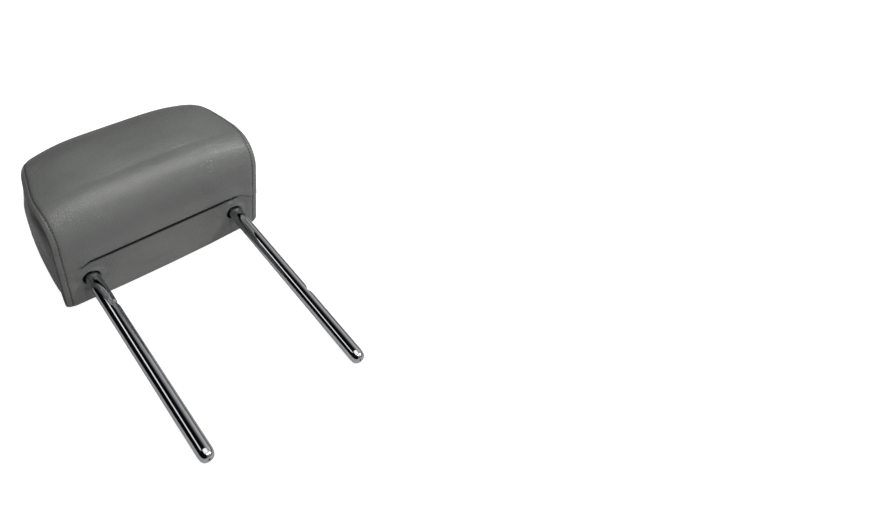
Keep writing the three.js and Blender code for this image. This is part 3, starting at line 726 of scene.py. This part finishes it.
def give_thickness(obj, millimetres):
    """Turns an open skin into a closed sheet of that thickness, grown inwards."""
    solid = obj.modifiers.new("Thickness", "SOLIDIFY")
    solid.thickness = millimetres / 1000
    solid.offset = -1
    solid.use_rim = True
    applied(obj, solid)
    obj.data.shade_smooth()


give_thickness(cover, leather_thickness)
cover_hide = leather_material("grey grained hide", True)
cover.data.materials.append(cover_hide)
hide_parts("cover_panel")
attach(cover, "root")

# End panels: a pear-shaped piece of the same leather closes each end of the cushion. It is sewn
# in behind the turned edge of the long panel and pulls in along that seam, then swells again.


def gusset_swell(side, rows, columns):
    """Swell of an end panel over its length round and from its middle to its rim."""
    s, f = np.linspace(0, round_length, rows), np.linspace(0, 1, columns)
    ss, ff = np.meshgrid(s, f, indexing="ij")
    origins = lay_down(gusset_point(ss, ff, side))
    directions = np.zeros_like(origins)
    directions[..., 0] = side
    return soften(swell_table(origins, directions, 0.014), 2, True)


def end_panel(name, side, node):
    """One end panel, in rings from its sewn rim to its middle."""
    around, rings = 260, 34
    table = np.zeros((91, 17))
    table = gusset_swell(side, *table.shape)
    s = np.linspace(0, round_length, around, endpoint=False)
    factors = 1 - (np.linspace(0, 1, rings) ** 1.35) * 0.985
    points, runs_here, insets_here = [], [], []
    y0, z0 = np.interp(s, line_run, line_y), np.interp(s, line_run, line_z)
    rim = gusset_point(s, np.full(around, 1.0), side)
    channel = 5.5
    # each end is pulled in most by its lower rear and lower front corners
    low = smooth(-z0, -70, -5) * smooth(-np.abs(y0 - 5.0), -75, -10)
    front = np.exp(-((y0 + 76.0) ** 2 + (z0 - 8.0) ** 2) / 38.0 ** 2)
    for factor in factors:
        base = gusset_point(s, np.full(around, factor), side)
        blown = table_value(table, s / round_length, np.full(around, factor))
        away = np.linalg.norm((rim - base)[..., 1:], axis=-1)
        move = np.clip(blown, -3.5, 2.0) * smooth(away, 4, 22)
        pull = 0.8 + 2.4 * low + 7.0 * front
        move = move - pull * np.exp(-((away - channel) / channel) ** 2)
        move = move - 1.3 * np.exp(-(away / 2.4) ** 2)
        move = move + 0.3 * ripple(s / 4.2, away / 9.0, 21 + side) * np.exp(-(away / 12.0) ** 2)
        wide = smooth(away, 3, 15) * smooth(factor + 0 * s, 0.05, 0.3)
        move = move + 0.5 * ripple(s / 26.0, away / 16.0, 31 + side) * wide
        base[..., 0] += side * move
        points.append(base)
        runs_here.append(s.copy())
        insets_here.append(away + 1.0)
    points.append(gusset_point(np.array([0.0]), np.array([0.0]), side)
                  + np.array([[side * np.clip(table.mean(axis=0)[0], -3.5, 2.0), 0, 0]]))
    runs_here.append(np.array([0.0]))
    insets_here.append(np.array([50.0]))
    verts_here = np.concatenate(points)
    faces_here = ring_faces(rings, around)
    last = (rings - 1) * around
    for i in range(around):
        faces_here.append((last + i, last + (i + 1) % around, rings * around))
    panel = mesh_object(name, settled(lay_down(verts_here)), faces_here)
    seam_attributes(panel, np.concatenate(runs_here), np.concatenate(insets_here))
    outward(panel, middle_of_cushion)
    give_thickness(panel, leather_thickness)
    panel.data.materials.append(end_hide)
    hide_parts(node)
    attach(panel, "root")
    return panel


end_hide = leather_material("grey end hide", False)
end_left = end_panel("end_leather_left", -1, "gusset_left")
end_right = end_panel("end_leather_right", 1, "gusset_right")

# Topstitches: a row of thick dark grey thread beside each side seam holds the turned edge flat. Each
# stitch is a short plump length of twisted thread that dives into its needle holes.

thread_length = 2.3
thread_width = 0.95
thread_height = 0.6


def stitch_tree():
    """Lays one plump stitch at every step along a line, each tilted a little at random."""
    tree = bpy.data.node_groups.new("row of stitches", "GeometryNodeTree")
    face = tree.interface
    for name, kind in (("Line", "Geometry"), ("Pitch", "Float"), ("Length", "Float"), ("Width", "Float"),
                       ("Height", "Float"), ("Tilt", "Float"), ("Seed", "Int"), ("Thread", "Material")):
        face.new_socket(name=name, in_out="INPUT", socket_type="NodeSocket" + kind)
    face.new_socket(name="Stitches", in_out="OUTPUT", socket_type="NodeSocketGeometry")
    nodes, links = tree.nodes, tree.links
    inputs, outputs = nodes.new("NodeGroupInput"), nodes.new("NodeGroupOutput")
    curve = nodes.new("GeometryNodeMeshToCurve")
    points = nodes.new("GeometryNodeCurveToPoints")
    points.mode = "LENGTH"
    up = nodes.new("GeometryNodeInputNamedAttribute")
    up.data_type = "FLOAT_VECTOR"
    up.inputs["Name"].default_value = "up"
    turn = nodes.new("FunctionNodeAxesToRotation")
    turn.primary_axis = "X"
    turn.secondary_axis = "Z"
    wobble = nodes.new("FunctionNodeRandomValue")
    wobble.data_type = "FLOAT_VECTOR"
    least, most, size = [nodes.new("ShaderNodeCombineXYZ") for _ in range(3)]
    negative = calculated(nodes, links, "MULTIPLY", inputs.outputs["Tilt"], -1)
    rotate = nodes.new("FunctionNodeRotateRotation")
    rotate.rotation_space = "LOCAL"
    small = nodes.new("FunctionNodeEulerToRotation")
    ball = nodes.new("GeometryNodeMeshUVSphere")
    ball.inputs["Segments"].default_value = 8
    ball.inputs["Rings"].default_value = 7
    ball.inputs["Radius"].default_value = 0.5
    shape = nodes.new("GeometryNodeTransform")
    place = nodes.new("GeometryNodeInstanceOnPoints")
    real = nodes.new("GeometryNodeRealizeInstances")
    shade = nodes.new("GeometryNodeSetShadeSmooth")
    finish = nodes.new("GeometryNodeSetMaterial")
    links.new(inputs.outputs["Line"], curve.inputs["Mesh"])
    links.new(curve.outputs[0], points.inputs["Curve"])
    links.new(inputs.outputs["Pitch"], points.inputs["Length"])
    links.new(points.outputs["Tangent"], turn.inputs[0])
    links.new(up.outputs["Attribute"], turn.inputs[1])
    for tilt, corner, bound in ((negative, least, 0), (inputs.outputs["Tilt"], most, 1)):
        links.new(tilt, corner.inputs["Y"])
        links.new(tilt, corner.inputs["Z"])
        links.new(corner.outputs[0], wobble.inputs[bound])
    links.new(inputs.outputs["Seed"], wobble.inputs["Seed"])
    links.new(wobble.outputs[0], small.inputs[0])
    links.new(turn.outputs[0], rotate.inputs["Rotation"])
    links.new(small.outputs[0], rotate.inputs["Rotate By"])
    for name, axis in (("Length", "X"), ("Width", "Y"), ("Height", "Z")):
        links.new(inputs.outputs[name], size.inputs[axis])
    links.new(ball.outputs["Mesh"], shape.inputs["Geometry"])
    links.new(size.outputs[0], shape.inputs["Scale"])
    links.new(points.outputs["Points"], place.inputs["Points"])
    links.new(shape.outputs[0], place.inputs["Instance"])
    links.new(rotate.outputs[0], place.inputs["Rotation"])
    links.new(inputs.outputs["Thread"], finish.inputs["Material"])
    for before, after in ((place, real), (real, shade), (shade, finish), (finish, outputs)):
        links.new(before.outputs[0], after.inputs[0])
    return tree


def thread_material():
    """Bonded polyester thread, darker than the leather, partly dark grey and partly painted shade of its
    channel, with its twist showing as fine slanted ribs.
    """
    material, nodes, links, shader = new_material("dark grey sewing thread")
    place = nodes.new("ShaderNodeTexCoord").outputs["Object"]
    twist = pattern(nodes, links, "ShaderNodeTexWave", place, Scale=420, Distortion=1.2)
    twist.bands_direction = "DIAGONAL"
    # thread colour is dark grey darkened further as painted shade of the groove it lies in
    links.new(mixed(nodes, links, twist.outputs["Fac"], (0.012, 0.013, 0.012, 1), (0.035, 0.037, 0.035, 1)),
              shader.inputs["Base Color"])
    links.new(ranged(nodes, links, twist.outputs["Fac"], 0, 1, 0.75, 0.55), shader.inputs["Roughness"])
    bumped(nodes, links, twist.outputs["Fac"], 0.5, 0.0001, shader.inputs["Normal"])
    return material


stitch_rows = stitch_tree()
thread_painted_darker = thread_material()


def topstitch(name, side, node):
    """One row of stitches, laid along the seam on top of the leather."""
    s = np.arange(0.5 * stitch_pitch, round_length - 0.4 * stitch_pitch, 0.7)
    x = side * (half_at(s) - stitch_inset)
    line = lay_down(cover_surface(s, x, 0.16))
    mesh = bpy.data.meshes.new(name)
    mesh.from_pydata([tuple(p) for p in line], [(k, k + 1) for k in range(len(line) - 1)], [])
    attribute = mesh.attributes.new("up", "FLOAT_VECTOR", "POINT")
    attribute.data.foreach_set("vector", face_upward(s, x).ravel())
    row = bpy.data.objects.new(name, mesh)
    scene.collection.objects.link(row)
    nodes = row.modifiers.new("Stitches", "NODES")
    nodes.node_group = stitch_rows
    values = {"Pitch": stitch_pitch / 1000, "Length": thread_length / 1000, "Width": thread_width / 1000,
              "Height": thread_height / 1000, "Tilt": 0.07, "Seed": 5 + side, "Thread": thread_painted_darker}
    for item in stitch_rows.interface.items_tree:
        if item.in_out == "INPUT" and item.name in values:
            nodes[item.identifier] = values[item.name]
    applied(row, nodes)
    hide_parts(node)
    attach(row, "root")
    return row


topstitch("stitches_left", -1, "topstitch_left")
topstitch("stitches_right", 1, "topstitch_right")

# Foam bun: soft polyurethane foam moulded round the core and the tube. It fills the cover, with
# a rough cut skin, and is seen only deep in the leg holes and the slit.

cover_clearance, end_clearance = 0.0030, 0.0034
foam_hole_radius, foam_hole_depth = 0.0125, 0.011
hollow_depth, hollow_start, hollow_end = 0.0085, 0.014, 0.034


def foam_material():
    material, nodes, links, shader = new_material("moulded foam")
    place = nodes.new("ShaderNodeTexCoord").outputs["Object"]
    pores = pattern(nodes, links, "ShaderNodeTexVoronoi", place, Scale=700)
    patches = pattern(nodes, links, "ShaderNodeTexNoise", place, Scale=25)
    base = mixed(nodes, links, patches.outputs["Fac"], (0.62, 0.55, 0.38, 1), (0.74, 0.69, 0.52, 1))
    pit = ranged(nodes, links, pores.outputs["Distance"], 0.0, 0.35, 0.5, 0.0)
    links.new(mixed(nodes, links, pit, base, (0.33, 0.28, 0.18, 1)), shader.inputs["Base Color"])
    shader.inputs["Roughness"].default_value = 0.95
    bumped(nodes, links, pores.outputs["Distance"], 0.7, 0.0006, shader.inputs["Normal"])
    return material


def foam_piece():
    """The foam in even cells, kept clear of the leather and hollowed a little round each leg."""
    mesh = bpy.data.objects["foam_bun"].data.copy()
    bun = bpy.data.objects.new("foam_body", mesh)
    scene.collection.objects.link(bun)
    bm = bmesh.new()
    bm.from_mesh(mesh)
    bmesh.ops.remove_doubles(bm, verts=bm.verts, dist=1e-5)
    bm.to_mesh(mesh)
    bm.free()
    voxels(bun, 0.0028)
    graph = bpy.context.evaluated_depsgraph_get()
    skin, *ends = [BVHTree.FromObject(sheet, graph) for sheet in (cover, end_left, end_right)]
    down = Vector(lay_down((0.0, 0.0, -1.0))) - Vector(lay_down((0.0, 0.0, 0.0)))
    down.normalize()
    for vertex in bun.data.vertices:
        co = vertex.co.copy()
        for tree in [skin, *ends]:
            spot, _, _, gap = tree.find_nearest(co)
            if spot is not None and gap < cover_clearance:
                inward = (middle_of_cushion - co).normalized()
                co += inward * (cover_clearance - gap)
        for side, tree in zip((-1, 1), ends):
            leather = tree.ray_cast(Vector((side * 0.2, co.y, co.z)), Vector((-side, 0, 0)))[0]
            if leather is not None and side * (co.x - leather.x) > -end_clearance:
                co.x = leather.x - side * end_clearance
        for centre in leg_centres:
            offset = co - centre
            depth = -offset.dot(down)
            sideways = offset + down * depth
            if depth < foam_hole_depth and sideways.length < foam_hole_radius:
                co += sideways.normalized() * (foam_hole_radius - sideways.length)
            hollow = hollow_depth * float(1 - smooth(sideways.length, hollow_start, hollow_end))
            if depth < hollow:
                co -= down * (hollow - depth)
        vertex.co = co
    bun.data.update()
    bun.data.shade_smooth()
    bun.data.materials.clear()
    bun.data.materials.append(foam_material())
    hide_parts("foam_bun")
    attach(bun, "root")


foam_piece()
bpy.data.objects.remove(bag)

# Closure strips: two extruded plastic hooks, sewn to the two ends of the long panel, catch each
# other behind the slit and hold the cover shut. They are pale, slightly waxy plastic.


def plastic_material(name, dark, light, roughness, texture, depth):
    """Moulded or extruded plastic with a fine spark-eroded texture and faint flow marks."""
    material, nodes, links, shader = new_material(name)
    place = nodes.new("ShaderNodeTexCoord").outputs["Object"]
    flow = pattern(nodes, links, "ShaderNodeTexNoise", place, Scale=30, Detail=5)
    grit = pattern(nodes, links, "ShaderNodeTexNoise", place, Scale=texture)
    links.new(mixed(nodes, links, flow.outputs["Fac"], dark, light), shader.inputs["Base Color"])
    links.new(ranged(nodes, links, grit.outputs["Fac"], 0.3, 0.7, roughness - 0.08, roughness + 0.08),
              shader.inputs["Roughness"])
    bumped(nodes, links, grit.outputs["Fac"], 0.5, depth, shader.inputs["Normal"])
    return material


def dress(node_names, material):
    """Gives CAD nodes that keep their own shape a finished material."""
    for node_name in node_names:
        node = bpy.data.objects[node_name]
        if not node.material_slots:
            node.data.materials.append(material)
        for slot in node.material_slots:
            slot.material = material


strip_plastic = plastic_material(
    "extruded strip plastic", (0.42, 0.43, 0.44, 1), (0.53, 0.54, 0.55, 1), 0.45, 900, 0.00005)
dress(["closure_strip_front", "closure_strip_rear"], strip_plastic)

# Core: two black half shells of moulded plastic clamped round the cross bar of the tube, with
# ribs and screw bosses inside, so that the cushion can't turn or slide on the steel.

core_plastic = plastic_material(
    "black core plastic", (0.018, 0.019, 0.02, 1), (0.032, 0.033, 0.035, 1), 0.55, 1400, 0.00008)
dress(["core_shell_front", "core_shell_rear"], core_plastic)

# Core screws: four zinc-plated thread-forming screws driven from behind through both shells.


def screw_material():
    material, nodes, links, shader = new_material("zinc plated steel")
    place = nodes.new("ShaderNodeTexCoord").outputs["Object"]
    bloom = pattern(nodes, links, "ShaderNodeTexNoise", place, Scale=380, Detail=4)
    links.new(mixed(nodes, links, bloom.outputs["Fac"], (0.5, 0.51, 0.53, 1), (0.68, 0.68, 0.66, 1)),
              shader.inputs["Base Color"])
    links.new(ranged(nodes, links, bloom.outputs["Fac"], 0.3, 0.7, 0.24, 0.42), shader.inputs["Roughness"])
    shader.inputs["Metallic"].default_value = 1
    return material


dress([f"core_screw_{k}" for k in (1, 2, 3, 4)], screw_material())

# Post tube: one chromed steel tube bent to a hoop. Its two legs end in swaged tips with a small
# drilled flat, and each has a lock notch ground in its +X side, turned a little to the front.

tube_radius = 7.0
bore_radius = 4.2
leg_length = 225.0
tip_length = 11.0
tip_radius = 3.6
bend_start, bend_radius = 16.0, 38.0
notch_drops = {-1: 0.17 * leg_length, 1: 0.56 * leg_length}
notch_slopes = {-1: 1.8, 1: 5.5}
notch_depth, notch_floor, notch_ramp = 2.2, 2.2, 3.8
notch_turn = math.pi / 10


def tube_stations(side):
    """Centre line and radius from one tip to the top of the bend: x, z, turn and radius."""
    low = -leg_length
    stations = []
    for along, radius in ((1.6, 1.15), (0.55, 1.3), (0.2, 1.75), (0.05, 2.4), (0.0, 3.1), (0.05, 3.5)):
        stations.append((side * leg_x, low + along, 0.0, radius))
    for k in range(1, 20):
        along = tip_length * (k / 19) ** 1.7
        fraction = along / tip_length
        radius = tip_radius + (tube_radius - tip_radius) * (1 - (1 - fraction ** 0.72) ** 2.9)
        stations.append((side * leg_x, low + along + 0.08 * (1 - fraction), 0.0, radius))
    drop = notch_drops[side]
    marks = set(np.round(np.arange(low + tip_length + 2, bend_start, 2.5), 3).tolist())
    floor_top = -drop - notch_slopes[side]
    for edge in (-drop, floor_top, floor_top - notch_floor, floor_top - notch_floor - notch_ramp):
        marks.update(round(edge + d, 3) for d in (-1.0, -0.5, -0.2, -0.03, 0.03, 0.2, 0.5, 1.0))
    for z in sorted(marks):
        stations.append((side * leg_x, z, 0.0, tube_radius))
    for k in range(0, 29):
        turn = math.pi / 2 * k / 28
        stations.append((side * (leg_x - bend_radius * (1 - math.cos(turn))),
                         bend_start + bend_radius * math.sin(turn), turn, tube_radius))
    return stations


def notch_limit(z, side):
    """Greatest reach of the metal from the leg's centre on the side where the notch is ground."""
    slope = notch_slopes[side]
    below = -notch_drops[side] - z
    ends = (0, slope, slope + notch_floor, slope + notch_floor + notch_ramp)
    deep = np.interp(below, ends, (-0.1, notch_depth, notch_depth, -0.1), left=-1, right=-1)
    return tube_radius - float(deep)


def bent_tube():
    """The hoop with its bore, as rings of points, pressed flat where the notches are ground."""
    sides = 72
    left, right = tube_stations(-1), tube_stations(1)
    cross = [(x, bend_start + bend_radius, math.pi / 2, tube_radius)
             for x in np.linspace(-leg_x + bend_radius, leg_x - bend_radius, 22)[1:-1]]
    outer = [(x, z, turn, radius, -1) for x, z, turn, radius in left]
    outer += [(x, z, turn, radius, 0) for x, z, turn, radius in cross]
    outer += [(x, z, math.pi - turn, radius, 1) for x, z, turn, radius in reversed(right)]
    inner = [(x, z, turn, bore_radius if z > -leg_length + 9 else 1.4 + 3.0 * (z + leg_length) / 9, 0)
             for x, z, turn, radius, side in outer[::3]
             if z > -leg_length + 2.5 or turn not in (0.0, math.pi)]
    points, ground = [], []
    for x, z, turn, radius, side in outer + inner[::-1]:
        for k in range(sides):
            angle = 2 * math.pi * k / sides
            out = radius * math.cos(angle)
            px, py, pz = x - out * math.cos(turn), radius * math.sin(angle), z + out * math.sin(turn)
            cut = 0.0
            if side and abs(abs(x) - leg_x) < 0.01 and z < 0:
                over = (px - x) * math.cos(notch_turn) - py * math.sin(notch_turn) - notch_limit(z, side)
                if over > 0:
                    px, py, cut = px - over * math.cos(notch_turn), py + over * math.sin(notch_turn), 1.0
            points.append((px, py, pz))
            ground.append(cut)
    faces_here = ring_faces(len(outer) + len(inner), sides, True)
    tube = mesh_object("chrome_hoop", lay_down(points), faces_here)
    mask = tube.data.attributes.new("ground", "FLOAT", "POINT")
    mask.data.foreach_set("value", ground)
    bm = bmesh.new()
    bm.from_mesh(tube.data)
    bmesh.ops.recalc_face_normals(bm, faces=bm.faces)
    if bm.calc_volume(signed=True) < 0:
        bmesh.ops.reverse_faces(bm, faces=bm.faces)
    bm.to_mesh(tube.data)
    bm.free()
    tube.data.set_sharp_from_angle(angle=math.radians(24))
    return tube


def chrome_material():
    """Bright chrome plate on polished steel: faint swirls, handling marks and ground notch faces."""
    material, nodes, links, shader = new_material("bright chrome plate")
    place = nodes.new("ShaderNodeTexCoord").outputs["Object"]
    marks = pattern(nodes, links, "ShaderNodeTexNoise", place, Scale=85, Detail=6, Roughness=0.65)
    stretch = pattern(nodes, links, "ShaderNodeMapping", place, Scale=(1, 0.12, 1))
    lines = pattern(nodes, links, "ShaderNodeTexNoise", stretch.outputs[0], Scale=900)
    cut = nodes.new("ShaderNodeAttribute")
    cut.attribute_name = "ground"
    smudge = ranged(nodes, links, marks.outputs["Fac"], 0.45, 0.75, 0, 1)
    colour = mixed(nodes, links, smudge, (0.47, 0.475, 0.488, 1), (0.41, 0.415, 0.428, 1))
    links.new(colour, shader.inputs["Base Color"])
    plain = ranged(nodes, links, marks.outputs["Fac"], 0.35, 0.8, 0.02, 0.08)
    rough = calculated(nodes, links, "MULTIPLY_ADD", cut.outputs["Fac"], 0.16, plain)
    links.new(rough, shader.inputs["Roughness"])
    shader.inputs["Metallic"].default_value = 1
    bumped(nodes, links, lines.outputs["Fac"], 0.06, 0.00005, shader.inputs["Normal"])
    return material


hoop = bent_tube()
hoop.data.materials.append(chrome_material())
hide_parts("post_tube")
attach(hoop, "root")

# Studio: a white table, a soft key light high on the right, a small lamp in front that glints along
# the crest, broad fills in front and overhead, and a strip on the left that draws the thin bright
# line along the chrome.


def floor_material():
    """Slightly cloudy white, which shows as pure white behind the headrest."""
    material, nodes, links, shader = new_material("white table")
    place = nodes.new("ShaderNodeTexCoord").outputs["Object"]
    cloudy = pattern(nodes, links, "ShaderNodeTexNoise", place, Scale=3)
    links.new(mixed(nodes, links, cloudy.outputs["Fac"], (0.53, 0.53, 0.53, 1), (0.57, 0.57, 0.57, 1)),
              shader.inputs["Base Color"])
    shader.inputs["Roughness"].default_value = 0.9
    shader.inputs["Specular IOR Level"].default_value = 0.1
    glow = nodes.new("ShaderNodeEmission")
    path = nodes.new("ShaderNodeLightPath")
    seen = calculated(nodes, links, "MULTIPLY", path.outputs["Is Camera Ray"], 0.9)
    links.new(seen, glow.inputs["Strength"])
    add = nodes.new("ShaderNodeAddShader")
    output = next(node for node in nodes if node.type == "OUTPUT_MATERIAL")
    links.new(shader.outputs[0], add.inputs[0])
    links.new(glow.outputs[0], add.inputs[1])
    links.new(add.outputs[0], output.inputs[0])
    return material


floor = mesh_object("table_top", [(-4, -4, 0), (4, -4, 0), (4, 4, 0), (-4, 4, 0)], [(0, 1, 2, 3)], False)
floor.data.materials.append(floor_material())


def soft_light(name, place, target, width, height, power):
    """A white lamp of that size in metres, turned to its target."""
    light = bpy.data.lights.new(name, "AREA")
    light.shape = "RECTANGLE"
    light.size, light.size_y = width, height
    light.energy = power
    lamp = bpy.data.objects.new(name, light)
    scene.collection.objects.link(lamp)
    ahead = (Vector(target) - Vector(place)).normalized()
    lamp.rotation_euler = ahead.to_track_quat("-Z", "Y").to_euler()
    lamp.location = place


soft_light("key light", (1.9, -1.55, 2.1), (0, 0.02, 0.06), 0.7, 0.7, 50)
soft_light("crest light", (0.12, -0.9, 1.3), (0, 0.03, 0.1), 0.12, 0.12, 9)
soft_light("front fill", (0.3, -1.9, 1.3), (0, 0, 0.06), 1.6, 1.2, 3.2)
soft_light("top fill", (0.0, -0.3, 2.6), (0, 0, 0.06), 2.4, 1.4, 20)
soft_light("left strip", (-0.88, 0.88, 1.6), (0, 0, 0.03), 1.4, 0.36, 2.6)


def studio_world():
    """A dim room: dark on the left, a pale grey wall and ceiling on the right."""
    world = bpy.data.worlds.new("studio")
    world.use_nodes = True
    nodes, links = world.node_tree.nodes, world.node_tree.links
    backdrop = nodes["Background"]
    place = nodes.new("ShaderNodeTexCoord").outputs["Generated"]
    parts = nodes.new("ShaderNodeSeparateXYZ")
    links.new(place, parts.inputs[0])
    wall = ranged(nodes, links, parts.outputs["X"], 0.12, 0.78, 0, 1)
    high = ranged(nodes, links, parts.outputs["Z"], 0.14, 0.42, 0.05, 1)
    wall = calculated(nodes, links, "MULTIPLY", wall, high)
    room = pattern(nodes, links, "ShaderNodeTexNoise", place, Scale=2.6, Detail=1)
    bright = mixed(nodes, links, ranged(nodes, links, room.outputs["Fac"], 0.38, 0.62, 0, 1),
                   (0.62, 0.63, 0.645, 1), (1.0, 1.0, 1.0, 1))
    links.new(mixed(nodes, links, wall, (0.005, 0.005, 0.006, 1), bright), backdrop.inputs["Color"])
    path = nodes.new("ShaderNodeLightPath")
    strength = calculated(nodes, links, "MULTIPLY_ADD", path.outputs["Is Glossy Ray"], 0.55, 0.45)
    links.new(strength, backdrop.inputs["Strength"])
    return world


scene.world = studio_world()

camera_data = bpy.data.cameras.new("camera")
camera = bpy.data.objects.new("camera", camera_data)
scene.collection.objects.link(camera)
scene.camera = camera
camera_data.sensor_width = 36
camera_data.lens = 30.44
camera_data.shift_x = 0.0131
camera_data.shift_y = -0.1460
right = Vector((0.7436, -0.6664, 0.0545)).normalized()
ahead = Vector((0.57164, 0.59136, -0.56879)).normalized()
top = right.cross(ahead).normalized()
right = ahead.cross(top).normalized()
camera.matrix_world = Matrix.Translation((-0.1983, -0.5283, 0.5757)) @ Matrix(
    ((right.x, top.x, -ahead.x), (right.y, top.y, -ahead.y), (right.z, top.z, -ahead.z))).to_4x4()

scene.view_settings.view_transform = "Standard"
